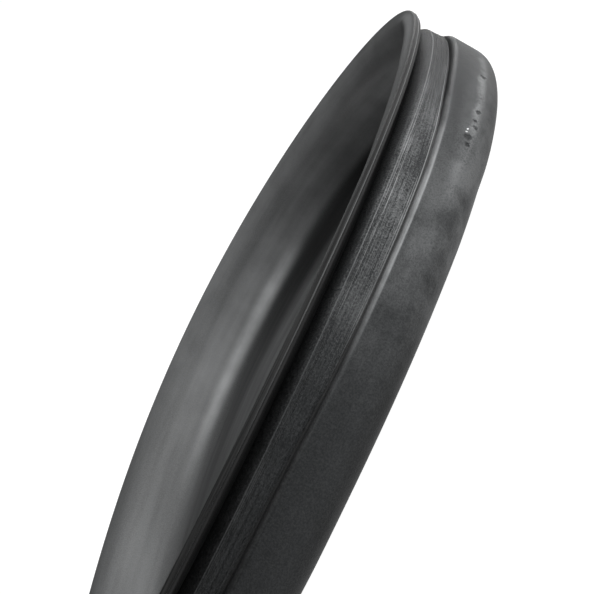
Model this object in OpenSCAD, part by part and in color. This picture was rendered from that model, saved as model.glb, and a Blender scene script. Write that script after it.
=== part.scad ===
// Round, shallow mortar mixing tub in flexible black rubber.
//
// The tub is laid up like a tyre: a smooth lining bowl with a flared lip, a cord ply and a lip
// backing behind it, and an outer wall in two parts, a rim collar above and a heel cover below,
// with a steel hoop buried in the collar. Every piece is a body of revolution about Z. The tub
// stands on z = 0 with its mouth up, and sections are drawn as [radius, height].

/* [Overall] */
// Diameter over the lip, the widest part of the tub
rim_d = 450; // [360:5:600]
// Height from the ground to the top edge of the lip
tub_h = 60; // [56:1:90]

/* [Lining bowl] */
// Thickness of the smooth lining in floor, wall and lip
lining_t = 2.8; // [2:0.1:3.6]
// Lean of the wall, out from vertical, in degrees
wall_lean = 3; // [1:0.5:6]
// Radius of the inside corner between floor and wall
corner_r = 14; // [8:1:18]
// Radius of the wall's flare into the lip, on the smooth face
flare_r = 20; // [16:1:24]
// Lean of the lip, out from vertical, in degrees
lip_lean = 76; // [66:1:82]
// Straight length of lip beyond the flare
lip_len = 6; // [4:0.5:8]
// Undercut of the trimmed lip edge, in degrees
edge_undercut = 8; // [0:1:16]

/* [Cord ply and lip backing] */
// Thickness of the cord ply and of the lip backing
ply_t = 1.4; // [0.8:0.1:2]
// How far the backing stops short of the lining's trimmed edge
backing_setback = 0.8; // [0.4:0.1:1.6]
// How far the backing runs on behind the collar, in degrees of the flare
backing_lap = 24; // [10:1:30]

/* [Rim collar] */
// Depth of the collar's face inside the lip's outer edge
collar_inset = 5; // [4:0.5:6.5]
// Drop from the lip's top edge to the collar's front corner
collar_drop = 13.5; // [12.5:0.5:16]
// Place of the groove's root on the flare, in degrees from vertical
groove_turn = 54; // [48:1:60]
// Height of the collar's face, down to the seam
collar_h = 12.5; // [10.5:0.5:15]
// Number of fine ridges round the collar's face
ridge_count = 4; // [2:1:6]
// Height of each ridge
ridge_h = 0.3; // [0.1:0.05:0.5]

/* [Bead hoop] */
// Diameter of the steel wire in the hoop
wire_d = 1.4; // [1:0.1:1.7]
// Rubber between neighbouring turns of wire
wire_gap = 0.15; // [0.05:0.01:0.2]
// Rubber round the outside of the bundle
filler_skin = 0.4; // [0.3:0.05:0.6]
// Drop from the collar's front corner to the hoop
hoop_drop = 6.5; // [5:0.1:8]

/* [Seam] */
// Height of the gap between collar and cover
seam_w = 1.2; // [0.6:0.1:2]
// Depth of the open slit, as far as the strip that closes it
slit_depth = 2.4; // [1:0.1:3]

/* [Heel cover] */
// Depth of the cover's top edge inside the lip's outer edge
cover_inset = 2.6; // [1:0.2:3.4]
// Lean of the cover's face, in towards the heel, in degrees
cover_lean = 4; // [0:0.5:6]
// Radius of the cover's top edge
cover_edge_r = 2.8; // [1:0.1:3.2]
// Radius of the heel
heel_r = 17; // [12:1:20]
// Width of the foot ring that the tub stands on
foot_w = 34; // [24:1:44]

/* [Base pad] */
// Thickness of the pad under the floor
pad_t = 3; // [2:0.5:4]
// Height of the pad's face above the ground
pad_lift = 2; // [1.5:0.5:4]
// Number of round grip ribs on the pad
rib_count = 4; // [2:1:8]
// Width of each grip rib
rib_w = 4; // [2:0.5:6]
// Height of each grip rib
rib_h = 1; // [0.6:0.1:1.4]

/* [Hidden] */
$fn = 180;

lip_r = rim_d / 2;
shell_t = lining_t + ply_t;
floor_back_z = pad_lift + pad_t;      // underside of the shell's floor
floor_z = floor_back_z + shell_t;     // smooth face of the floor
far = 2 * rim_d;                      // past every section

// Unit vectors on a face that leans out by a degrees: up along it, and square to it, outwards
function along(a) = [sin(a), cos(a)];
function square_to(a) = [cos(a), -sin(a)];
function polar(r, a) = [r * cos(a), r * sin(a)];

// The smooth face, from the lip's top edge down to the floor
lip_top = [lip_r, tub_h];
lip_root = lip_top - lip_len * along(lip_lean);
flare_c = lip_root + flare_r * square_to(lip_lean);
wall_top = flare_c - flare_r * square_to(wall_lean);
corner_z = floor_z + corner_r;
wall_foot_z = corner_z - corner_r * sin(wall_lean);
wall_foot = [wall_top[0] - (wall_top[1] - wall_foot_z) * tan(wall_lean), wall_foot_z];
corner_c = wall_foot - corner_r * square_to(wall_lean);

// Point at a depth behind the smooth face, at a turn round the flare
function on_flare(depth, turn) = flare_c - (flare_r - depth) * square_to(turn);
groove_root = on_flare(shell_t, groove_turn);
backing_turn = groove_turn - backing_lap;

// Faces of the outer wall
collar_r = lip_r - collar_inset;
collar_top = tub_h - collar_drop;
seam_top = collar_top - collar_h;
cover_top = seam_top - seam_w;
cover_r = lip_r - cover_inset;
slit_r = collar_r - slit_depth;

// Centre of a round of radius r that touches the cover's face, at a height z
function beside_face(r, z) =
    [cover_r - (r + (cover_top - z) * sin(cover_lean)) / cos(cover_lean), z];
heel_c = beside_face(heel_r, heel_r);
edge_c = beside_face(cover_edge_r, cover_top - cover_edge_r);
foot_r = heel_c[0] - foot_w;

// The hoop lies midway between the collar's face and the back of the wall
wall_back_r = wall_top[0] + shell_t / cos(wall_lean);
hoop_c = [(collar_r + wall_back_r) / 2, collar_top - hoop_drop];
wire_pitch = wire_d + wire_gap;
bundle_r = wire_pitch + wire_d / 2 + filler_skin;
WIRES = concat([[0, 0]], [for (a = [0:60:300]) polar(wire_pitch, a)]);

// ---- Sections -----------------------------------------------------------------------------

// Everything on the smooth side of the surface that lies a depth d behind the smooth face
module within(d) {
    n = square_to(wall_lean);
    m = square_to(lip_lean);
    wall_end = wall_top + d * n;
    root = lip_root + d * m;
    lip_end = root + rim_d * along(lip_lean);
    polygon([[0, floor_z - d], [corner_c[0], floor_z - d], [corner_c[0], far], [0, far]]);
    translate(corner_c) circle(corner_r + d);
    polygon([corner_c, wall_foot + d * n, wall_end, [corner_c[0], wall_end[1]]]);
    difference() {
        polygon([[0, wall_end[1]], [root[0], wall_end[1]], [root[0], far], [0, far]]);
        translate(flare_c) circle(flare_r - d);
    }
    polygon([root, lip_end, [lip_end[0], far], [root[0], far]]);
}

// A layer of the shell between two depths, with the lip's edge trimmed a setback short
module layer(d0, d1, setback) {
    cut_r = lip_r - setback;
    intersection() {
        difference() {
            within(d1);
            within(d0);
        }
        polygon([[0, 0], [cut_r - tub_h * tan(edge_undercut), 0], [cut_r, tub_h], [0, tub_h]]);
    }
}

// The part of the section on the wall's side of a turn round the flare, or on the lip's side
module wall_side(turn) {
    end = on_flare(0, turn);
    polygon([flare_c, end, [0, end[1]], [0, 0], [flare_c[0], 0]]);
}
module lip_side(turn) {
    end = on_flare(0, turn);
    polygon([flare_c, end, [end[0], far], [far, far], [far, flare_c[1]]]);
}

// The room behind the shell between two heights, as far out as a radius r
module behind_shell(z0, z1, r) {
    difference() {
        translate([corner_c[0], z0]) square([r - corner_c[0], z1 - z0]);
        within(shell_t);
    }
}

// ---- Pieces -------------------------------------------------------------------------------

module lining_bowl() {
    color([0.13, 0.14, 0.14]) rotate_extrude() layer(0, lining_t, 0);
}

module lip_backing() {
    color([0.17, 0.18, 0.18]) rotate_extrude() intersection() {
        layer(lining_t, shell_t, backing_setback);
        lip_side(backing_turn);
    }
}

module carcass_ply() {
    color([0.30, 0.27, 0.22]) rotate_extrude() intersection() {
        layer(lining_t, shell_t, backing_setback);
        wall_side(backing_turn);
    }
}

module rim_collar() {
    pitch = collar_h / ridge_count;
    color([0.12, 0.125, 0.13]) rotate_extrude() difference() {
        union() {
            intersection() {
                behind_shell(seam_top, groove_root[1], collar_r);
                polygon([groove_root, [collar_r, collar_top], [collar_r, seam_top],
                         [corner_c[0], seam_top], [corner_c[0], groove_root[1]]]);
            }
            for (i = [0 : ridge_count - 1])
                translate([collar_r, collar_top - (i + 0.5) * pitch]) circle(ridge_h);
        }
        translate(hoop_c) circle(bundle_r);
    }
}

module bead_filler() {
    color([0.22, 0.20, 0.20]) rotate_extrude() translate(hoop_c) difference() {
        circle(bundle_r);
        for (p = WIRES) translate(p) circle(d = wire_d);
    }
}

module bead_wires() {
    color([0.72, 0.55, 0.30]) rotate_extrude()
        for (p = WIRES) translate(hoop_c + p) circle(d = wire_d);
}

module seam_strip() {
    color([0.20, 0.21, 0.21]) rotate_extrude() behind_shell(cover_top, seam_top, slit_r);
}

module outer_cover() {
    n = square_to(cover_lean);
    color([0.14, 0.145, 0.15]) rotate_extrude() difference() {
        union() {
            polygon([[foot_r, 0], [heel_c[0], 0], heel_c, heel_c + heel_r * n,
                     edge_c + cover_edge_r * n, edge_c, [edge_c[0], cover_top],
                     [corner_c[0], cover_top], [corner_c[0], floor_back_z],
                     [foot_r, floor_back_z]]);
            translate(heel_c) intersection() {
                circle(heel_r);
                translate([0, -heel_r]) square(heel_r);
            }
            translate(edge_c) circle(cover_edge_r);
        }
        within(shell_t);
    }
}

module base_pad() {
    pitch = foot_r / (rib_count + 1);
    color([0.15, 0.155, 0.16]) {
        translate([0, 0, pad_lift]) cylinder(r = foot_r, h = pad_t);
        rotate_extrude() for (i = [1 : rib_count])
            translate([i * pitch - rib_w / 2, pad_lift - rib_h]) square([rib_w, rib_h]);
    }
}

lining_bowl();
lip_backing();
carcass_ply();
rim_collar();
bead_filler();
bead_wires();
seam_strip();
outer_cover();
base_pad();
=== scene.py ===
"""A round, shallow mortar mixing tub in flexible black rubber, laid up like a tyre.

The pieces in view are turned sections, each swept round by Geometry Nodes, and the hidden ones
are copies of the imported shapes. All are bent together, because a soft tub never stands quite
true. Lengths are in metres and angles in degrees.
"""
import math
import random

import bmesh
import bpy
from mathutils import Matrix, Vector


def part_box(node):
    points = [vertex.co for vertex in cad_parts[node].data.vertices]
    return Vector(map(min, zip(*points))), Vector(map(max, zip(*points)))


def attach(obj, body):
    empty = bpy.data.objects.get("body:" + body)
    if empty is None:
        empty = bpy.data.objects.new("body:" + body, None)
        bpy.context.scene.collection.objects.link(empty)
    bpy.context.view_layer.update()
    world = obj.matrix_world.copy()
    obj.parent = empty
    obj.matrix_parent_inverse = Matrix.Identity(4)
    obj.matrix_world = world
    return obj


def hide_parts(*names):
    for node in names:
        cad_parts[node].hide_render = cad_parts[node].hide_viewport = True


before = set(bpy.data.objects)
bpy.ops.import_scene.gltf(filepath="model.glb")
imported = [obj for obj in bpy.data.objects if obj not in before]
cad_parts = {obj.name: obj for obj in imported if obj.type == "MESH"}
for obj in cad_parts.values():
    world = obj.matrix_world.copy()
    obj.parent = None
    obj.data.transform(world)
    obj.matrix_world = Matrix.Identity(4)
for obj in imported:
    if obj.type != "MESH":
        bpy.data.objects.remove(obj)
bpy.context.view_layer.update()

MM = 0.001

# ---- Sizes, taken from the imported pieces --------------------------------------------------

lining_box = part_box("lining_bowl")
collar_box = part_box("rim_collar")
cover_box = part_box("outer_cover")
pad_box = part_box("base_pad")

LIP_R = lining_box[1][0]
TOP_Z = lining_box[1][2]
FLOOR_BACK_Z = pad_box[1][2]
SEAM_TOP = collar_box[0][2]
COVER_TOP = cover_box[1][2]
FOOT_R = pad_box[1][0]

# The lay-up, as the pieces are built
LINING_T = 2.8 * MM
PLY_T = 1.4 * MM
SHELL_T = LINING_T + PLY_T
WALL_LEAN = 3
CORNER_R = 14 * MM
FLARE_R = 20 * MM
LIP_LEAN = 76
LIP_LEN = 6 * MM
EDGE_UNDERCUT = 8
BACKING_SETBACK = 0.8 * MM
GROOVE_TURN = 54
BACKING_TURN = 30
COLLAR_INSET = 5 * MM
COLLAR_DROP = 13.5 * MM
SLIT_DEPTH = 2.4 * MM
COVER_INSET = 2.6 * MM
COVER_LEAN = 4
COVER_EDGE_R = 2.8 * MM
HEEL_R = 17 * MM
RIB_COUNT = 4
RIB_W = 4 * MM
RIB_H = 1 * MM
PAD_LIFT = 2 * MM

# The collar's threads, rubbed and given a painted highlight, by their drop from its front corner
CORNER_THREADS = (1.2 * MM, 2.1 * MM, 2.9 * MM)
LOW_THREAD = 11.0 * MM

# Steps round the axis: most for an outline in plain view, fewer for a section of many points,
# and fewest for a piece that hardly shows
FINE_STEPS = 720
LONG_SECTION_STEPS = 600
COARSE_STEPS = 360

FLOOR_Z = FLOOR_BACK_Z + SHELL_T
COLLAR_R = LIP_R - COLLAR_INSET
COLLAR_TOP = TOP_Z - COLLAR_DROP
COVER_R = LIP_R - COVER_INSET

# How far the soft tub is out of true. It bends as one: the rim dips at the X ends and rises at
# the Y sides, and the foot lifts under those sides. The lip's edge curls over near the +X end, and
# the seam and the low band stray up and down, or in and out, as the turn goes round
BEND = {
    "Rim lift": 0.3 * MM,
    "Rim bend": 5.55 * MM,
    "Foot lift": 5.4 * MM,
    "Lip sway": 0.84 * MM,
    "Lip sway across": 1.16 * MM,
    "Lip bend": 1.03 * MM,
    "Lip ripple": 0.57 * MM,
    "Lip curl": 4.2 * MM,
    "Curl radius": LIP_R - 8.5 * MM,
    "Curl reach": 8.5 * MM,
    "Low sway": 3.6 * MM,
    "Seam sway": 2.5 * MM,
    "Seam height": SEAM_TOP,
    "Seam reach": 13 * MM,
}

# At which turns the lip curls over, and the low band and the seam stray, and by what share
CURLS = {-80: 0.0, -62: 0.1, -48: 0.45, -36: 0.8, -24: 1.0, -12: 0.8, 0: 0.1, 12: 0.0, 30: 0.0}
LOW_STRAYS = {-155: 0.0, -130: 0.5, -105: 0.4, -80: -1.0, -56: -0.25, -48: -0.05, -40: 0.95,
              -30: 1.0, -5: 0.3, 20: 0.1, 45: 0.0}
SEAM_STRAYS = {-155: 0.0, -130: 0.1, -105: 0.7, -80: 0.0, -55: -0.5, -30: 1.0, -5: 0.4,
               20: 0.1, 45: 0.0}


# ---- Points of a section, as (radius, height) ----------------------------------------------

def along(lean):
    """Direction up a face that leans out from vertical."""
    a = math.radians(lean)
    return Vector((math.sin(a), math.cos(a)))


def square_to(lean):
    """Direction out of the back of such a face."""
    a = math.radians(lean)
    return Vector((math.cos(a), -math.sin(a)))


def line(start, end, count):
    """Evenly spaced points from start up to, but not including, end."""
    start, end = Vector(start), Vector(end)
    return [start.lerp(end, i / count) for i in range(count)]


def arc(centre, radius, first, last, count):
    """Points round a centre, from one angle to another, both included."""
    points = []
    for i in range(count + 1):
        a = math.radians(first + (last - first) * i / count)
        points.append(Vector(centre) + radius * Vector((math.cos(a), math.sin(a))))
    return points


lip_top = Vector((LIP_R, TOP_Z))
lip_root = lip_top - LIP_LEN * along(LIP_LEAN)
flare_c = lip_root + FLARE_R * square_to(LIP_LEAN)
wall_top = flare_c - FLARE_R * square_to(WALL_LEAN)
corner_z = FLOOR_Z + CORNER_R
wall_foot_z = corner_z - CORNER_R * math.sin(math.radians(WALL_LEAN))
wall_foot = Vector((wall_top.x - (wall_top.y - wall_foot_z) * math.tan(math.radians(WALL_LEAN)),
                    wall_foot_z))
corner_c = wall_foot - CORNER_R * square_to(WALL_LEAN)


def on_flare(depth, turn):
    """The point at a depth behind the flare's smooth face, where it leans by a turn."""
    return flare_c - (FLARE_R - depth) * square_to(turn)


def beside_cover(radius, z):
    """Centre of a round that touches the cover's leaning face, at a height z."""
    lean = math.radians(COVER_LEAN)
    run = (radius + (COVER_TOP - z) * math.sin(lean)) / math.cos(lean)
    return Vector((COVER_R - run, z))


def bowl_line(depth, lip_end):
    """The floor, corner, wall, flare and lip at a depth behind the smooth face."""
    lean = square_to(WALL_LEAN)
    points = line((0, FLOOR_Z - depth), (corner_c.x, FLOOR_Z - depth), 26)
    points += arc(corner_c, CORNER_R + depth, -90, -WALL_LEAN, 14)
    points += line(wall_foot + depth * lean, wall_top + depth * lean, 6)[1:]
    points += arc(flare_c, FLARE_R - depth, 180 - WALL_LEAN, 180 - LIP_LEAN, 22)
    points += line(points[-1], lip_end, 6)[1:]
    return points


def edge_point(depth, setback=0):
    """Where the trimmed lip edge meets the layer at a depth."""
    start = lip_root + depth * square_to(LIP_LEAN)
    lean, cut = along(LIP_LEAN), math.tan(math.radians(EDGE_UNDERCUT))
    reach = (LIP_R - setback - start.x - (TOP_Z - start.y) * cut) / (lean.x - lean.y * cut)
    return start + reach * lean


def rounded(before, corner, after, radius, count=4):
    """The corner between two lines, rounded."""
    a, b = (before - corner).normalized(), (after - corner).normalized()
    half = a.angle(b) / 2
    start, end = corner + a * radius / math.tan(half), corner + b * radius / math.tan(half)
    points = []
    for i in range(count + 1):
        t = i / count
        points.append(start * (1 - t) ** 2 + corner * 2 * t * (1 - t) + end * t ** 2)
    return points


def lining_section():
    """The smooth bowl with its lip, closed across the axis by its own thickness."""
    top, low = edge_point(0), edge_point(LINING_T)
    face = bowl_line(0, top)
    back = bowl_line(LINING_T, low)
    edge_top = rounded(face[-1], top, low, 0.9 * MM, 7)
    edge_low = rounded(top, low, back[-1], 0.3 * MM)
    hollow = square_to(0) * -0.22 * MM
    middle = [point + hollow for point in line(edge_top[-1], edge_low[0], 6)[1:]]
    return face + edge_top + middle + edge_low + back[::-1]


def backing_section():
    """The strip behind the flare and lip."""
    top, low = edge_point(LINING_T, BACKING_SETBACK), edge_point(SHELL_T, BACKING_SETBACK)
    face = arc(flare_c, FLARE_R - LINING_T, 180 - BACKING_TURN, 180 - LIP_LEAN, 14)
    back = arc(flare_c, FLARE_R - SHELL_T, 180 - BACKING_TURN, 180 - LIP_LEAN, 14)
    face += line(face[-1], top, 6)[1:]
    back += line(back[-1], low, 6)[1:]
    edge = rounded(face[-1], top, low, 0.2 * MM) + rounded(top, low, back[-1], 0.35 * MM)
    return face + edge + back[::-1]


def collar_section():
    """The band under the groove: sloping flank, fine threads near its corners, low ridges."""
    rng = random.Random(7)
    face_top, face_cut = 0.9 * MM, 1.4 * MM        # the face's start, and what its corners take
    face_back, steps = 0.18 * MM, 96               # set back, for threads and ridges to stand on
    thread_h, thread_w = 0.15 * MM, 0.20 * MM
    ridge_h, ridge_pitch, ridge_start = 0.12 * MM, 3.1 * MM, 3 * MM
    score_h = 0.045 * MM
    root = on_flare(SHELL_T, GROOVE_TURN)
    front = Vector((COLLAR_R, COLLAR_TOP))
    foot = Vector((COLLAR_R, SEAM_TOP))
    points = line(root, front, 16)
    points += rounded(points[-1], front, foot, 0.5 * MM)
    height = COLLAR_TOP - SEAM_TOP - face_cut
    for i in range(steps + 1):
        drop = face_top + height * i / steps
        thread = sum(thread_h * math.exp(-((drop - place) / thread_w) ** 2)
                     for place in CORNER_THREADS + (LOW_THREAD,))
        wave = math.cos(2 * math.pi * (drop - ridge_start) / ridge_pitch)
        ridge = ridge_h * (0.5 - 0.5 * wave)
        score = rng.uniform(-1, 1) * score_h
        points.append(Vector((COLLAR_R - face_back + thread + ridge + score, COLLAR_TOP - drop)))
    points += rounded(points[-1], foot, Vector((wall_top.x, SEAM_TOP)), 0.7 * MM)
    back = wall_top + SHELL_T * square_to(WALL_LEAN)
    inner = Vector((back_of_wall(SEAM_TOP), SEAM_TOP))
    points += line(points[-1], inner, 6)[1:]
    points += line(inner, back, 4)
    points += arc(flare_c, FLARE_R - SHELL_T, 180 - WALL_LEAN, 180 - GROOVE_TURN, 14)
    return points


def back_of_wall(z):
    """Radius of the back of the wall at a height."""
    back = wall_top + SHELL_T * square_to(WALL_LEAN)
    return back.x - (back.y - z) * math.tan(math.radians(WALL_LEAN))


def strip_section():
    """The gum strip at the bottom of the slit."""
    slit_r = COLLAR_R - SLIT_DEPTH
    corners = [(back_of_wall(COVER_TOP), COVER_TOP), (slit_r, COVER_TOP), (slit_r, SEAM_TOP),
               (back_of_wall(SEAM_TOP), SEAM_TOP)]
    points = []
    for start, end in zip(corners, corners[1:] + corners[:1]):
        points += line(start, end, 3)
    return points + [Vector(corners[0])]


def cover_section():
    """The smooth lower band, with its rounded top edge, its heel and the foot ring."""
    rng = random.Random(11)
    heel_c = beside_cover(HEEL_R, HEEL_R)
    edge_c = beside_cover(COVER_EDGE_R, COVER_TOP - COVER_EDGE_R)
    inner = Vector((back_of_wall(COVER_TOP), COVER_TOP))
    points = line(inner, (edge_c.x, COVER_TOP), 6)
    points += arc(edge_c, COVER_EDGE_R, 90, -COVER_LEAN, 12)
    smooth = len(points) - 1                       # the face below the rounded edge is scored
    points += line(points[-1], heel_c + HEEL_R * square_to(COVER_LEAN), 22)[1:]
    points += arc(heel_c, HEEL_R, -COVER_LEAN, -90, 34)
    score = 0.02 * MM
    points = points[:smooth] + [p * (1 + rng.uniform(-score, score) / LIP_R)
                                for p in points[smooth:]]
    points += line(points[-1], (FOOT_R + 1 * MM, 0), 12)[1:]
    points += rounded(Vector((FOOT_R + 1, 0)), Vector((FOOT_R, 0)), Vector((FOOT_R, 1)), 0.8 * MM)
    points += line(points[-1], (FOOT_R, FLOOR_BACK_Z), 3)[1:]
    points += line((FOOT_R, FLOOR_BACK_Z), (corner_c.x, FLOOR_BACK_Z), 6)
    points += arc(corner_c, CORNER_R + SHELL_T, -90, -WALL_LEAN, 14)
    points += line(points[-1], inner, 4)[1:]
    return points + [inner]


def pad_section():
    """The pad under the floor, with its round grip ribs."""
    points = line((0, FLOOR_BACK_Z), (FOOT_R, FLOOR_BACK_Z), 24)
    points += line((FOOT_R, FLOOR_BACK_Z), (FOOT_R, PAD_LIFT), 2) + [Vector((FOOT_R, PAD_LIFT))]
    pitch = FOOT_R / (RIB_COUNT + 1)
    soft = 0.4 * MM
    for i in range(RIB_COUNT, 0, -1):
        outer, inner = i * pitch + RIB_W / 2, i * pitch - RIB_W / 2
        low = PAD_LIFT - RIB_H
        points += line(points[-1], (outer + soft, PAD_LIFT), 5)[1:]
        points += [Vector((outer + soft, PAD_LIFT)),
                   Vector((outer + soft / 3, PAD_LIFT - soft / 2)),
                   Vector((outer, low + soft / 2)), Vector((outer - soft, low)),
                   Vector((inner + soft, low)), Vector((inner, low + soft / 2)),
                   Vector((inner - soft / 3, PAD_LIFT - soft / 2)),
                   Vector((inner - soft, PAD_LIFT))]
    points += line(points[-1], (0, PAD_LIFT), 5)[1:]
    return points + [Vector((0, PAD_LIFT))]


# ---- Geometry Nodes -------------------------------------------------------------------------

def new_tree(name, numbers):
    """A tree with a geometry in and out, and named numbers that its modifier sets."""
    tree = bpy.data.node_groups.new(name, "GeometryNodeTree")
    tree.interface.new_socket("Geometry", in_out="INPUT", socket_type="NodeSocketGeometry")
    for number in numbers:
        kind = "NodeSocketInt" if number == "Segments" else "NodeSocketFloat"
        tree.interface.new_socket(number, in_out="INPUT", socket_type=kind)
    tree.interface.new_socket("Finish", in_out="INPUT", socket_type="NodeSocketMaterial")
    tree.interface.new_socket("Geometry", in_out="OUTPUT", socket_type="NodeSocketGeometry")
    return tree, tree.nodes.new("NodeGroupInput"), tree.nodes.new("NodeGroupOutput")


def put(tree, kind, settings=None, **sockets):
    """Adds a node; a socket takes a value or a link from another node's output."""
    node = tree.nodes.new(kind)
    for key, value in (settings or {}).items():
        setattr(node, key, value)
    for key, value in sockets.items():
        socket = node.inputs[int(key[1:]) if key[1:].isdigit() else key.replace("_", " ")]
        if isinstance(value, bpy.types.NodeSocket):
            tree.links.new(value, socket)
        else:
            socket.default_value = value
    return node


def calc(tree, operation, a, b=0.0, c=0.0, clamp=False):
    """One step of arithmetic."""
    settings = {"operation": operation, "use_clamp": clamp}
    return put(tree, "ShaderNodeMath", settings, _0=a, _1=b, _2=c).outputs[0]


def total(tree, *values):
    """All the values added up."""
    running = values[0]
    for value in values[1:]:
        running = calc(tree, "ADD", running, value)
    return running


def product(tree, *values):
    """All the values multiplied."""
    running = values[0]
    for value in values[1:]:
        running = calc(tree, "MULTIPLY", running, value)
    return running


def hump(tree, value, centre, reach):
    """1 at a centre, falling smoothly to 0 at a reach to each side."""
    away = calc(tree, "ABSOLUTE", calc(tree, "SUBTRACT", value, centre))
    left = calc(tree, "SUBTRACT", 1.0, calc(tree, "DIVIDE", away, reach), clamp=True)
    smooth = {"interpolation_type": "SMOOTHSTEP"}
    return put(tree, "ShaderNodeMapRange", smooth, _0=left).outputs[0]


def stray(tree, turn, strays):
    """A smooth curve round the turn through the given shares, from -1 to 1."""
    node = put(tree, "ShaderNodeFloatCurve", Value=turn)
    curve = node.mapping.curves[0]
    curve.points[0].location = (0, 0.5)
    curve.points[1].location = (1, 0.5)
    for angle, share in strays.items():
        curve.points.new((angle + 180) / 360, 0.5 + share / 2)
    node.mapping.update()
    return calc(tree, "MULTIPLY_ADD", node.outputs[0], 2.0, -1.0)


def bend(tree, given, geometry):
    """Keeps each point's true place as an attribute, then moves it as the soft tub bends."""
    here = put(tree, "GeometryNodeInputPosition").outputs[0]
    kept = put(tree, "GeometryNodeStoreNamedAttribute",
               {"data_type": "FLOAT_VECTOR", "domain": "POINT"},
               Geometry=geometry, Name="true_place", Value=here)
    size = given.outputs
    parts = put(tree, "ShaderNodeSeparateXYZ", _0=here).outputs
    x = calc(tree, "DIVIDE", parts[0], LIP_R)
    y = calc(tree, "DIVIDE", parts[1], LIP_R)
    z = parts[2]
    xx, yy = product(tree, x, x), product(tree, y, y)
    out = total(tree, xx, yy)                      # radius over the lip's radius, squared
    sides = calc(tree, "SUBTRACT", yy, xx)         # +1 at the Y sides, -1 at the X ends
    turn = calc(tree, "ARCTAN2", parts[1], parts[0])
    turn = calc(tree, "MULTIPLY_ADD", turn, 0.5 / math.pi, 0.5)

    # The whole tub: the rim bends, and the foot lifts with it. High is 0 at the ground and 1 from
    # the collar's top up
    high = calc(tree, "DIVIDE", z, COLLAR_TOP, clamp=True)
    rim = calc(tree, "MULTIPLY_ADD", sides, size["Rim bend"], size["Rim lift"])
    foot = product(tree, yy, size["Foot lift"], 2.0)
    rise = total(tree, product(tree, rim, high),
                 product(tree, foot, calc(tree, "SUBTRACT", 1.0, high)))

    # The lip: it sways, bends and ripples, and its edge curls over
    lip = calc(tree, "SUBTRACT", z, COLLAR_TOP)
    lip = calc(tree, "DIVIDE", lip, TOP_Z - COLLAR_TOP, clamp=True)
    triple = product(tree, x, calc(tree, "MULTIPLY_ADD", xx, 4.0, -3.0))
    tip = total(tree, product(tree, x, size["Lip sway"]), product(tree, y, size["Lip sway across"]),
                product(tree, sides, size["Lip bend"]), product(tree, triple, size["Lip ripple"]))
    crest = hump(tree, calc(tree, "SQRT", out), calc(tree, "DIVIDE", size["Curl radius"], LIP_R),
                 calc(tree, "DIVIDE", size["Curl reach"], LIP_R))
    curl = product(tree, stray(tree, turn, CURLS), product(tree, size["Lip curl"], lip), crest)
    rise = total(tree, rise, product(tree, tip, lip), curl)

    # The seam strays up and down, and the low band in and out
    beside = hump(tree, z, size["Seam height"], size["Seam reach"])
    beside = product(tree, beside, product(tree, out, out))
    seam = product(tree, stray(tree, turn, SEAM_STRAYS), size["Seam sway"])
    rise = total(tree, rise, product(tree, seam, beside))
    low = calc(tree, "SUBTRACT", 1.0, calc(tree, "DIVIDE", z, TOP_Z, clamp=True))
    sway = product(tree, stray(tree, turn, LOW_STRAYS), size["Low sway"], product(tree, low, out))
    offset = put(tree, "ShaderNodeCombineXYZ", _0=product(tree, x, sway),
                 _1=product(tree, y, sway), _2=rise)
    moved = put(tree, "GeometryNodeSetPosition", Geometry=kept.outputs[0], Offset=offset.outputs[0])
    return moved.outputs[0]


def close_tree(tree, given, taken, geometry):
    """Ends a tree in Realize Instances and Set Material."""
    real = put(tree, "GeometryNodeRealizeInstances", Geometry=geometry)
    done = put(tree, "GeometryNodeSetMaterial", Geometry=real.outputs[0],
               Material=given.outputs["Finish"])
    tree.links.new(done.outputs[0], taken.inputs[0])


def turning_tree():
    """Sweeps a section's points round the axis as a grid, joins its seams and bends it."""
    tree, given, taken = new_tree("turn_section", ["Segments"] + list(BEND))
    drawn = given.outputs["Geometry"]
    count = put(tree, "GeometryNodeAttributeDomainSize", Geometry=drawn).outputs["Point Count"]
    steps = given.outputs["Segments"]
    rows = total(tree, steps, 1.0)
    grid = put(tree, "GeometryNodeMeshGrid", Vertices_X=rows, Vertices_Y=count)
    index = put(tree, "GeometryNodeInputIndex").outputs[0]
    row = calc(tree, "FLOOR", calc(tree, "DIVIDE", total(tree, index, 0.5), count))
    step = calc(tree, "SUBTRACT", index, product(tree, row, count))
    angle = product(tree, calc(tree, "DIVIDE", row, steps), 2 * math.pi)
    here = put(tree, "GeometryNodeInputPosition").outputs[0]
    point = put(tree, "GeometryNodeSampleIndex", {"data_type": "FLOAT_VECTOR", "domain": "POINT"},
                Geometry=drawn, Value=here, Index=step)
    parts = put(tree, "ShaderNodeSeparateXYZ", _0=point.outputs[0]).outputs
    place = put(tree, "ShaderNodeCombineXYZ",
                _0=product(tree, parts[0], calc(tree, "COSINE", angle)),
                _1=product(tree, parts[0], calc(tree, "SINE", angle)), _2=parts[2])
    swept = put(tree, "GeometryNodeSetPosition", Geometry=grid.outputs[0],
                Position=place.outputs[0])
    joined = put(tree, "GeometryNodeMergeByDistance", Geometry=swept.outputs[0],
                 Distance=0.002 * MM)
    close_tree(tree, given, taken, bend(tree, given, joined.outputs[0]))
    return tree


def bending_tree():
    """Bends a mesh that is already whole."""
    tree, given, taken = new_tree("bend_piece", list(BEND))
    close_tree(tree, given, taken, bend(tree, given, given.outputs["Geometry"]))
    return tree


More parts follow.
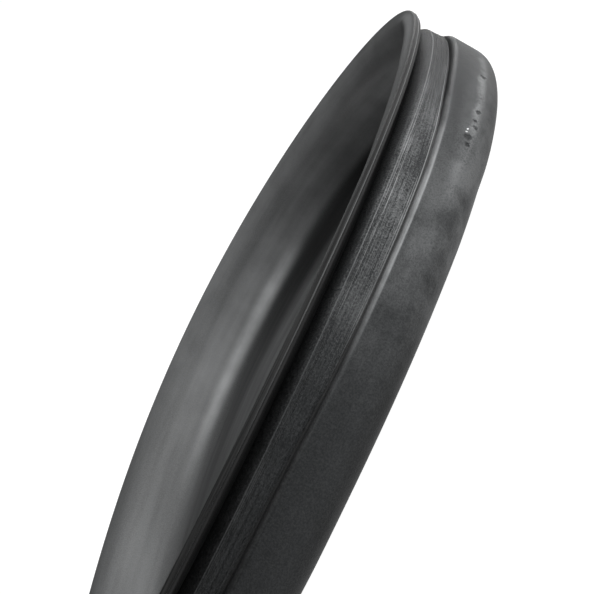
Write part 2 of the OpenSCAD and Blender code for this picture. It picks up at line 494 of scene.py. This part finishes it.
def apply_tree(obj, tree, finish, **numbers):
    """Runs a tree on an object and leaves its result as a plain mesh."""
    modifier = obj.modifiers.new(tree.name, "NODES")
    modifier.node_group = tree
    wanted = dict(BEND, Finish=finish, **numbers)
    for item in tree.interface.items_tree:
        if item.in_out == "INPUT" and item.name in wanted:
            modifier[item.identifier] = wanted[item.name]
    bpy.context.view_layer.update()
    seen = obj.evaluated_get(bpy.context.evaluated_depsgraph_get())
    mesh = bpy.data.meshes.new_from_object(seen)
    obj.modifiers.remove(modifier)
    obj.data = mesh
    mesh.name = obj.name
    return obj


def face_outwards(mesh, sharp_from=50):
    """Turns every face outwards and shades it smooth, with edges past an angle left sharp."""
    work = bmesh.new()
    work.from_mesh(mesh)
    bmesh.ops.recalc_face_normals(work, faces=work.faces)
    for face in work.faces:
        face.smooth = True
    work.to_mesh(mesh)
    work.free()
    mesh.set_sharp_from_angle(angle=math.radians(sharp_from))


def new_object(name, mesh):
    """Puts a mesh, lamp or camera in the scene as an object."""
    obj = bpy.data.objects.new(name, mesh)
    bpy.context.scene.collection.objects.link(obj)
    return obj


def turned(name, section, node, finish, segments=FINE_STEPS):
    """A piece swept from a section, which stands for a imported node."""
    mesh = bpy.data.meshes.new(name)
    mesh.from_pydata([(p.x, 0, p.y) for p in section], [], [])
    piece = apply_tree(new_object(name, mesh), TURNING, finish, Segments=segments)
    face_outwards(piece.data)
    settle(piece, node)


def bent_copy(name, node, finish):
    """A hidden piece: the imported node's own shape, joined up and bent with the rest."""
    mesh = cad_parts[node].data.copy()
    work = bmesh.new()
    work.from_mesh(mesh)
    bmesh.ops.remove_doubles(work, verts=work.verts, dist=0.001 * MM)
    work.to_mesh(mesh)
    work.free()
    piece = apply_tree(new_object(name, mesh), BENDING, finish)
    face_outwards(piece.data, 30)
    settle(piece, node)


def settle(piece, node):
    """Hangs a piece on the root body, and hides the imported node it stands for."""
    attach(piece, "root")
    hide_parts(node)


TURNING = turning_tree()
BENDING = bending_tree()


# ---- Finishes -------------------------------------------------------------------------------
#
# A mask is 0 to 1 and picks out where on the tub a finish changes. It is set by the place before
# the bend: radius and height in metres, and turn in degrees from +X towards +Y.

def new_finish(name, roughness, gloss=0.5, tint=(1.0, 1.0, 1.0, 1.0)):
    """A material with a Principled shader, and the place each point had before the tub bent."""
    finish = bpy.data.materials.new(name)
    finish.use_nodes = True
    tree = finish.node_tree
    tree.nodes.clear()
    out = tree.nodes.new("ShaderNodeOutputMaterial")
    skin = tree.nodes.new("ShaderNodeBsdfPrincipled")
    skin.inputs["Roughness"].default_value = roughness
    skin.inputs["Specular IOR Level"].default_value = gloss
    skin.inputs["Specular Tint"].default_value = tint
    tree.links.new(skin.outputs[0], out.inputs[0])
    place = put(tree, "ShaderNodeAttribute", {"attribute_name": "true_place"}).outputs["Vector"]
    return finish, tree, skin, place


def feed(skin, socket, value):
    """Links a value that varies over the surface to one of the shader's sockets."""
    skin.id_data.links.new(value, skin.inputs[socket])


def off_axis(tree, place):
    """A place's parts, and its distance from the axis."""
    parts = put(tree, "ShaderNodeSeparateXYZ", _0=place).outputs
    flat = put(tree, "ShaderNodeCombineXYZ", _0=parts[0], _1=parts[1], _2=0.0).outputs[0]
    length = put(tree, "ShaderNodeVectorMath", {"operation": "LENGTH"}, _0=flat)
    return parts, length.outputs["Value"]


def round_place(tree, place, around, across):
    """A place for streaks that run round the tub: few along the turn, many across it."""
    parts, radius = off_axis(tree, place)
    radius = calc(tree, "MAXIMUM", radius, 1 * MM)
    turn_x = product(tree, calc(tree, "DIVIDE", parts[0], radius), around)
    turn_y = product(tree, calc(tree, "DIVIDE", parts[1], radius), around)
    height = product(tree, parts[2], across)
    vector = put(tree, "ShaderNodeCombineXYZ", _0=turn_x, _1=turn_y, _2=height).outputs[0]
    return vector, product(tree, radius, across)


def round_noise(tree, place, around, across, detail, rough):
    """Noise drawn out into streaks that run round the tub."""
    vector, w = round_place(tree, place, around, across)
    return noise(tree, vector, 1.0, detail, rough, w)


def noise(tree, vector, scale=1.0, detail=3.0, rough=0.5, w=None):
    """Even noise, or with a fourth coordinate where w is given."""
    node = put(tree, "ShaderNodeTexNoise", {"noise_dimensions": "4D" if w is not None else "3D"},
               Vector=vector, Scale=scale, Detail=detail, Roughness=rough)
    if w is not None:
        tree.links.new(w, node.inputs["W"])
    return node.outputs[0]


def remap(tree, value, low, high, to_low=0.0, to_high=1.0):
    """A straight step, where the value passes from low to high."""
    return put(tree, "ShaderNodeMapRange",
               _0=value, _1=low, _2=high, _3=to_low, _4=to_high).outputs[0]


def fade(tree, value, low, high, to_low=0.0, to_high=1.0):
    """A soft step, where the value passes from low to high."""
    node = put(tree, "ShaderNodeMapRange", {"interpolation_type": "SMOOTHSTEP"},
               _0=value, _1=low, _2=high, _3=to_low, _4=to_high)
    return node.outputs[0]


def near(tree, value, centre, reach):
    """1 at a centre, fading to 0 at a reach to each side."""
    away = calc(tree, "ABSOLUTE", calc(tree, "SUBTRACT", value, centre))
    return fade(tree, away, 0.0, reach, 1.0, 0.0)


def facing(tree, turn, middle):
    """1 where the turn is at a middle angle, 0 a quarter turn away, -1 across the tub."""
    away = calc(tree, "SUBTRACT", turn, middle)
    return calc(tree, "COSINE", product(tree, away, math.pi / 180))


def either(tree, *values):
    """The largest of the values."""
    running = values[0]
    for value in values[1:]:
        running = calc(tree, "MAXIMUM", running, value)
    return running


def whereabouts(tree, place):
    """Radius, height and turn, in degrees, of a place."""
    parts, radius = off_axis(tree, place)
    turn = product(tree, calc(tree, "ARCTAN2", parts[1], parts[0]), 180 / math.pi)
    return radius, parts[2], turn


def spots(tree, place, marks):
    """Ragged round marks on the cover's face, each given by its turn, height and radius."""
    found = []
    raggedness = 3 * MM
    wander = put(tree, "ShaderNodeTexNoise", Vector=place, Scale=420.0, Detail=2.0)
    place = put(tree, "ShaderNodeVectorMath", {"operation": "MULTIPLY_ADD"},
                _0=wander.outputs["Color"], _1=(raggedness,) * 3, _2=place).outputs[0]
    place = put(tree, "ShaderNodeVectorMath", {"operation": "SUBTRACT"}, _0=place,
                _1=(raggedness / 2,) * 3).outputs[0]
    for turn, height, reach in marks:
        angle = math.radians(turn)
        radius = COVER_R - (COVER_TOP - height) * math.tan(math.radians(COVER_LEAN))
        centre = (radius * math.cos(angle), radius * math.sin(angle), height)
        gap = put(tree, "ShaderNodeVectorMath", {"operation": "DISTANCE"}, _0=place, _1=centre)
        found.append(fade(tree, gap.outputs["Value"], reach * 0.35, reach, 1.0, 0.0))
    return either(tree, *found)


def blend(tree, factor, first, second):
    """The first colour where the factor is 0, and the second where it is 1."""
    node = put(tree, "ShaderNodeMix", {"data_type": "RGBA"}, _0=factor, _6=first, _7=second)
    return node.outputs[2]


def emboss(tree, height, strength, depth, under=None):
    """A surface roughened by a height, on top of another such surface if one is given."""
    node = put(tree, "ShaderNodeBump", Strength=strength, Distance=depth, Height=height)
    if under is not None:
        tree.links.new(under, node.inputs["Normal"])
    return node.outputs[0]


COOL = (0.95, 1.0, 1.04, 1.0)         # tint of the outer wall's gloss
HIGHLIGHT_TURN = -30                       # middle of the stretch where edges carry a painted highlight


def shade_of(value):
    """A near-black grey, very slightly cool."""
    return (value * 0.98, value, value * 1.01, 1.0)


def lining_finish():
    """Smooth moulded rubber: soft streaks, a dark cut edge, chalk and painted light on the far
    wall, painted shade round the floor.
    """
    finish, tree, skin, place = new_finish("lining_finish", 0.56, 0.15)
    radius, height, turn = whereabouts(tree, place)
    streaks = round_noise(tree, place, 1.6, 90.0, 3.0, 0.5)
    fine = round_noise(tree, place, 9.0, 900.0, 2.0, 0.5)
    clouds = noise(tree, place, 38.0, 4.0, 0.55)
    grain = noise(tree, place, 1300.0, 2.0, 0.6)

    # Chalk, with painted light: a painted highlight at the wall's foot, and the wall, flare and
    # floor's middle paler
    on_wall = fade(tree, radius, 193 * MM, 201 * MM)
    foot = product(tree, near(tree, height, 19 * MM, 8.5 * MM), on_wall,
                   fade(tree, facing(tree, turn, 100), 0.80, 0.94))
    flare = fade(tree, height, 46 * MM, 54 * MM)
    wall = product(tree, fade(tree, height, 54 * MM, 36 * MM),
                   fade(tree, height, 13 * MM, 24 * MM), on_wall)
    middle = fade(tree, radius, 168 * MM, 138 * MM)
    chalk_and_painted_light = total(tree, product(tree, foot, 0.74), product(tree, wall, 0.42))
    for mask, strength in ((flare, 0.26), (middle, 0.16)):
        chalk_and_painted_light = calc(tree, "MULTIPLY_ADD", mask, strength, chalk_and_painted_light)
    patchy = remap(tree, total(tree, streaks, clouds), 0.75, 1.25, 0.60, 1.12)
    # Paleness is partly chalk and partly painted light, kept to the side round a turn of 48
    chalk_and_painted_light = product(tree, chalk_and_painted_light, patchy, fade(tree, facing(tree, turn, 48), 0.15, 0.88, 0.06, 1.0))

    # Painted shade: the corner round the floor, and the lower wall near a turn of 20, darker and
    # less glossy
    corner = product(tree, fade(tree, height, 21 * MM, 9.5 * MM),
                     fade(tree, radius, 140 * MM, 175 * MM),
                     fade(tree, facing(tree, turn, 20), 0.1, 0.75, 0.25, 1.0))
    behind = product(tree, near(tree, turn, 20.0, 26.0), fade(tree, height, 50 * MM, 26 * MM),
                     on_wall)
    painted_shade = either(tree, corner, behind)
    mottle = remap(tree, total(tree, streaks, grain), 0.7, 1.3)
    rubber = blend(tree, mottle, shade_of(0.060), shade_of(0.110))
    rubber = blend(tree, product(tree, painted_shade, 0.85), rubber, shade_of(0.010))
    face = blend(tree, chalk_and_painted_light, rubber, shade_of(0.42))

    # The trimmed edge: how far behind the trim, and how deep below the smooth face
    drop = calc(tree, "SUBTRACT", TOP_Z, height)
    out = calc(tree, "SUBTRACT", radius, LIP_R)
    trim = calc(tree, "MULTIPLY_ADD", drop, math.tan(math.radians(EDGE_UNDERCUT)), out)
    lean = square_to(LIP_LEAN)
    depth = total(tree, product(tree, out, lean.x), product(tree, drop, -lean.y))
    cut = product(tree, fade(tree, trim, -0.75 * MM, -0.4 * MM),
                  fade(tree, depth, 0.10 * MM, 0.45 * MM))
    knife = round_noise(tree, place, 6.0, 3200.0, 2.0, 0.6)
    # Painted highlight along the edge's lower margin, on the stretch round the highlight turn
    margin_highlight = product(tree, near(tree, depth, LINING_T, 0.55 * MM),
                     fade(tree, facing(tree, turn, HIGHLIGHT_TURN), 0.40, 0.85))
    edge = blend(tree, remap(tree, knife, 0.35, 0.65), shade_of(0.002), shade_of(0.020))
    edge = blend(tree, margin_highlight, edge, shade_of(0.10))

    feed(skin, "Base Color", blend(tree, cut, face, edge))
    feed(skin, "Specular IOR Level", calc(tree, "MULTIPLY_ADD", painted_shade, -0.09, 0.15))
    feed(skin, "Roughness", remap(tree, streaks, 0.3, 0.7, 0.60, 0.48))
    fine = total(tree, fine, product(tree, knife, cut))
    soft = emboss(tree, streaks, 0.25, 1.2 * MM)
    feed(skin, "Normal", emboss(tree, fine, 0.4, 0.14 * MM, soft))
    return finish


def cut_finish(name):
    """Trimmed rubber with fine lines run round it by the knife, dull where it is deep in."""
    finish, tree, skin, place = new_finish(name, 0.56, 0.2)
    lines = round_noise(tree, place, 6.0, 2600.0, 2.0, 0.6)
    radius = whereabouts(tree, place)[0]
    colour = blend(tree, remap(tree, lines, 0.35, 0.65), shade_of(0.001), shade_of(0.012))
    feed(skin, "Base Color", colour)
    gloss = fade(tree, radius, LIP_R - 12 * MM, LIP_R - 2 * MM, 0.04, 0.2)
    feed(skin, "Specular IOR Level", gloss)
    feed(skin, "Normal", emboss(tree, lines, 0.6, 0.2 * MM))
    return finish


def collar_finish():
    """Buffed rubber: sharp grain, threads round the front corner, painted highlights on edges and
    threads, painted shade in the groove.
    """
    finish, tree, skin, place = new_finish("collar_finish", 0.54, 0.25, COOL)
    radius, height, turn = whereabouts(tree, place)
    grain = noise(tree, place, 1150.0, 3.0, 0.7)
    lines = round_noise(tree, place, 5.0, 1700.0, 3.0, 0.65)
    patches = noise(tree, place, 34.0, 3.0, 0.5)
    drop = calc(tree, "SUBTRACT", COLLAR_TOP, height)

    # Buffed on its face; painted shade in the groove and near a turn of -15, and a painted
    # highlight on scuffs and threads round -53
    front = fade(tree, radius, COLLAR_R - 2.5 * MM, COLLAR_R - 0.5 * MM)
    painted_end_shade = calc(tree, "MULTIPLY_ADD", near(tree, turn, -15.0, 26.0), -0.42, 1.0)
    face = product(tree, fade(tree, radius, COLLAR_R - 7 * MM, COLLAR_R - 0.2 * MM), painted_end_shade)
    painted_sheen = calc(tree, "MULTIPLY_ADD", near(tree, turn, -53.0, 30.0), 0.90, 0.10)

    # Threads, the front corner and the edge above the seam, each lit as a painted highlight; the
    # threads are rubbed too
    threads = either(tree, *(near(tree, drop, thread, 0.28 * MM) for thread in CORNER_THREADS),
                     near(tree, drop, LOW_THREAD, 0.3 * MM))
    rubbed = remap(tree, total(tree, lines, patches), 0.95, 1.15, 0.1, 1.0)
    threads = product(tree, threads, rubbed, face, painted_sheen)
    # Painted highlight on the front corner
    corner = product(tree, near(tree, drop, 0.1 * MM, 0.4 * MM),
                     fade(tree, facing(tree, turn, HIGHLIGHT_TURN), 0.6, 0.9, 0.08, 0.32))
    # Painted highlight on the rounded edge above the seam, round a turn of -50
    edge = product(tree, near(tree, height, SEAM_TOP + 0.5 * MM, 0.5 * MM),
                   near(tree, turn, -50.0, 34.0), 0.8)
    lit = either(tree, threads, edge, corner)
    scuffs = product(tree, remap(tree, total(tree, lines, grain, patches), 1.36, 1.95), front)

    colour = blend(tree, remap(tree, grain, 0.42, 0.68), shade_of(0.001), shade_of(0.016))
    # Painted shade: near black in the groove, and darker near a turn of -15
    colour = blend(tree, calc(tree, "SUBTRACT", 1.0, face), colour, shade_of(0.0008))
    # Scuffs, pale specks, brightened as a painted highlight round a turn of -53
    colour = blend(tree, product(tree, scuffs, painted_sheen), colour, shade_of(0.145))
    feed(skin, "Base Color", blend(tree, lit, colour, shade_of(0.26)))
    feed(skin, "Roughness", remap(tree, grain, 0.3, 0.7, 0.44, 0.62))
    feed(skin, "Specular IOR Level", product(tree, face, 0.24))
    scored = emboss(tree, lines, 0.4, 0.3 * MM)
    feed(skin, "Normal", emboss(tree, grain, 1.0, 0.45 * MM, scored))
    return finish


# Flaws in the cover, each by its turn, its height and its radius
PITS = ((-29.6, 16.2 * MM, 2.2 * MM), (-39.0, 15.7 * MM, 2.1 * MM), (-42.2, 15.4 * MM, 2.0 * MM),
        (-44.3, 17.4 * MM, 2.9 * MM), (-45.4, 16.6 * MM, 2.0 * MM), (-41.0, 16.6 * MM, 1.4 * MM))
SPECKS = ((-43.0, 18.6 * MM, 0.75 * MM), (-43.6, 19.2 * MM, 0.5 * MM))


def cover_finish():
    """Smooth rubber with a fine grain, a painted highlight on its top edge, smudges, a pale streak
    and a few flaws.
    """
    finish, tree, skin, place = new_finish("cover_finish", 0.54, 0.25, COOL)
    height, turn = whereabouts(tree, place)[1:]
    grain = noise(tree, place, 1100.0, 3.0, 0.7)
    smudges = round_noise(tree, place, 4.0, 60.0, 4.0, 0.6)
    clouds = noise(tree, place, 55.0, 5.0, 0.62)
    highlight_breakup = round_noise(tree, place, 6.0, 1100.0, 3.0, 0.6)

    # Dust in smudges, most where the band is worn
    worn = near(tree, calc(tree, "MULTIPLY_ADD", clouds, 12.0, turn), -44.0, 36.0)
    dust = product(tree, remap(tree, total(tree, smudges, clouds), 0.80, 1.15, 0.25, 1.0),
                   calc(tree, "MULTIPLY_ADD", worn, 0.90, 0.10),
                   either(tree, near(tree, turn, -66.0, 32.0),
                          fade(tree, height, 29 * MM, 17 * MM)),
                   remap(tree, grain, 0.30, 0.60, 0.55, 1.1))

    # A pale streak along the heel, and a painted highlight along the top edge
    low_edge = calc(tree, "MULTIPLY_ADD", clouds, -9 * MM, height)
    streak = product(tree, near(tree, low_edge, 11.6 * MM, 3.6 * MM),
                     remap(tree, total(tree, clouds, grain), 0.80, 1.15),
                     near(tree, turn, -34.0, 26.0))
    # Painted highlight along the rounded top edge, strongest round a turn of -57
    top = product(tree, fade(tree, height, COVER_TOP - 2.6 * MM, COVER_TOP - 1.6 * MM),
                  remap(tree, total(tree, highlight_breakup, clouds), 0.80, 1.15, 0.45, 1.0),
                  calc(tree, "MULTIPLY_ADD", near(tree, turn, -57.0, 22.0), 0.94, 0.06))
    pits, specks = spots(tree, place, PITS), spots(tree, place, SPECKS)

    colour = blend(tree, remap(tree, grain, 0.40, 0.68), shade_of(0.002), shade_of(0.016))
    for mask, value in ((dust, 0.072), (streak, 0.125), (top, 0.22),
                        (product(tree, pits, 0.9), 0.003), (specks, 0.50)):
        colour = blend(tree, mask, colour, shade_of(value))
    feed(skin, "Base Color", colour)
    feed(skin, "Roughness", remap(tree, grain, 0.3, 0.7, 0.46, 0.62))
    feed(skin, "Specular IOR Level", fade(tree, height, 4 * MM, 15 * MM, 0.10, 0.25))
    waves = emboss(tree, total(tree, smudges, clouds), 0.25, 1.6 * MM)
    dented = emboss(tree, pits, 0.9, -0.8 * MM, waves)
    feed(skin, "Normal", emboss(tree, grain, 0.6, 0.3 * MM, dented))
    return finish


def plain_finish(name, value, roughness):
    """Moulded rubber that is hardly seen: an even, slightly mottled black."""
    finish, tree, skin, place = new_finish(name, roughness)
    mottle = noise(tree, place, 60.0, 3.0, 0.5)
    feed(skin, "Base Color", blend(tree, mottle, shade_of(value * 0.8), shade_of(value * 1.25)))
    feed(skin, "Normal", emboss(tree, noise(tree, place, 900.0), 0.4, 0.2 * MM))
    return finish


def wire_finish():
    """Drawn steel wire with a thin bronze coat."""
    finish, tree, skin, place = new_finish("wire_finish", 0.32)
    skin.inputs["Metallic"].default_value = 1.0
    drawn = noise(tree, place, 500.0)
    feed(skin, "Base Color", blend(tree, drawn, (0.42, 0.30, 0.16, 1), (0.66, 0.50, 0.30, 1)))
    return finish


# ---- The tub --------------------------------------------------------------------------------

turned("lining_rubber", lining_section(), "lining_bowl", lining_finish(),
       LONG_SECTION_STEPS)
turned("backing_rubber", backing_section(), "lip_backing", cut_finish("backing_finish"))
turned("collar_rubber", collar_section(), "rim_collar", collar_finish(),
       LONG_SECTION_STEPS)
turned("gum_strip", strip_section(), "seam_strip",
       plain_finish("strip_finish", 0.02, 0.6), COARSE_STEPS)
turned("cover_rubber", cover_section(), "outer_cover", cover_finish())
turned("pad_rubber", pad_section(), "base_pad",
       plain_finish("pad_finish", 0.034, 0.55), COARSE_STEPS)
bent_copy("ply_cords", "carcass_ply", plain_finish("ply_finish", 0.07, 0.8))
bent_copy("filler_rubber", "bead_filler", plain_finish("filler_finish", 0.03, 0.6))
bent_copy("hoop_wires", "bead_wires", wire_finish())


# ---- Floor, light and camera ----------------------------------------------------------------

def pale_floor():
    """A pale table, lit from within so that it throws soft light up under the tub."""
    bpy.ops.mesh.primitive_circle_add(vertices=96, radius=12, fill_type="NGON", location=(0, 0, 0))
    ground = bpy.context.object
    ground.name = "pale_floor"
    finish = bpy.data.materials.new("floor_finish")
    finish.use_nodes = True
    skin = finish.node_tree.nodes["Principled BSDF"]
    skin.inputs["Base Color"].default_value = (0.25, 0.25, 0.25, 1)
    skin.inputs["Roughness"].default_value = 0.9
    skin.inputs["Specular IOR Level"].default_value = 0.0
    skin.inputs["Emission Color"].default_value = (1, 1, 1, 1)
    skin.inputs["Emission Strength"].default_value = 1.0
    ground.data.materials.append(finish)


def soft_light(name, azimuth, elevation, power, aim, side=1.25, distance=4.0):
    """A square studio light aimed at a point, its azimuth taken from +X towards +Y."""
    data = bpy.data.lights.new(name, "AREA")
    data.shape = "SQUARE"
    data.size, data.energy = side, power
    turn, lift = math.radians(azimuth), math.radians(elevation)
    level = math.cos(lift)
    way = Vector((math.cos(turn) * level, math.sin(turn) * level, math.sin(lift)))
    lamp = new_object(name, data)
    lamp.location = Vector(aim) + distance * way
    lamp.rotation_euler = (-way).to_track_quat("-Z", "Y").to_euler()


def studio_surround():
    """A white surround that is seen but lights the tub hardly at all."""
    world = bpy.data.worlds.new("surround")
    bpy.context.scene.world = world
    world.use_nodes = True
    tree = world.node_tree
    sky = tree.nodes["Background"]
    sky.inputs["Color"].default_value = (1, 1, 1, 1)
    seen = put(tree, "ShaderNodeLightPath").outputs["Is Camera Ray"]
    feed(sky, "Strength", calc(tree, "MULTIPLY_ADD", seen, 1.0, 0.02))


def level_camera(name, place, heading, tilt, roll, lens):
    """A camera set as on a tripod: heading clockwise from +Y, tilt down, roll clockwise."""
    heading, tilt, roll = (math.radians(a) for a in (heading, tilt, roll))
    flat = math.cos(tilt)
    ahead = Vector((math.sin(heading) * flat, math.cos(heading) * flat, -math.sin(tilt)))
    side = ahead.cross(Vector((0, 0, 1))).normalized()
    level = side.cross(ahead)
    up = level * math.cos(roll) + side * math.sin(roll)
    right = ahead.cross(up)
    data = bpy.data.cameras.new(name)
    data.lens = lens
    data.sensor_width = 36
    camera = new_object(name, data)
    turn = Matrix((right, up, -ahead)).transposed()
    camera.matrix_world = Matrix.Translation(place) @ turn.to_4x4()
    bpy.context.scene.camera = camera


# What the lights are aimed at: high over the tub's near side, or that side itself
HIGH_AIM = (0.1, -0.1, 0.5)
LOW_AIM = (0.1, -0.1, 0.03)

pale_floor()
studio_surround()
soft_light("key_light", 0, 5, 150, HIGH_AIM)
soft_light("side_light", -55, 5, 95, HIGH_AIM)
soft_light("high_light", -32, 40, 80, LOW_AIM)
soft_light("far_light", 45, 5, 38, HIGH_AIM)
soft_light("back_light", 152, 5, 48, HIGH_AIM)
level_camera("low_view", (0.0870, -0.6838, 0.1372), -2.696, 8.465, 64.291, 72.73)
bpy.context.scene.view_settings.view_transform = "Standard"
